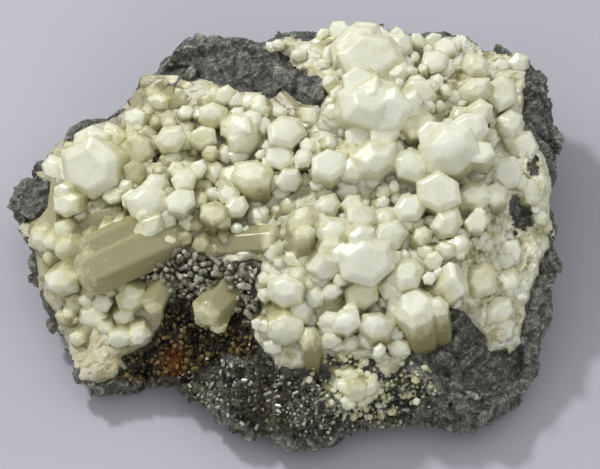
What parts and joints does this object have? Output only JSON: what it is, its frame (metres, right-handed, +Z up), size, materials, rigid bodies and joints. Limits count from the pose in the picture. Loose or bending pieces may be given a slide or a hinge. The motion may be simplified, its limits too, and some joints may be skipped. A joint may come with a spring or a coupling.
{
  "type": "plumboan aragonite specimen",
  "caption": "Loose piece of dark rock, flat underneath, with stubby six-sided cream crystals grown over its upper face.",
  "frame": {"origin": "on the resting face, under the middle of the specimen", "axes": "+Z up from the resting face, -Y the side that the crystal face slopes down to, X along the longest side"},
  "size_m": [0.1397, 0.1139, 0.0537],
  "materials": {
    "rock": "fine-grained, dark grey, rough, with small glints",
    "aragonite": "cream, waxy and partly see-through",
    "grey_druse": "small grey glassy crystals",
    "rusty_druse": "brown and gold, iron-stained grains"
  },
  "bodies": {
    "root": {"matrix_rock": "rock", "aragonite_crystals": "aragonite", "hollow_crystal_pair": "aragonite", "front_crystal_cluster": "aragonite", "grey_druse": "grey_druse", "rusty_druse": "rusty_druse"}
  },
  "joints": []
}
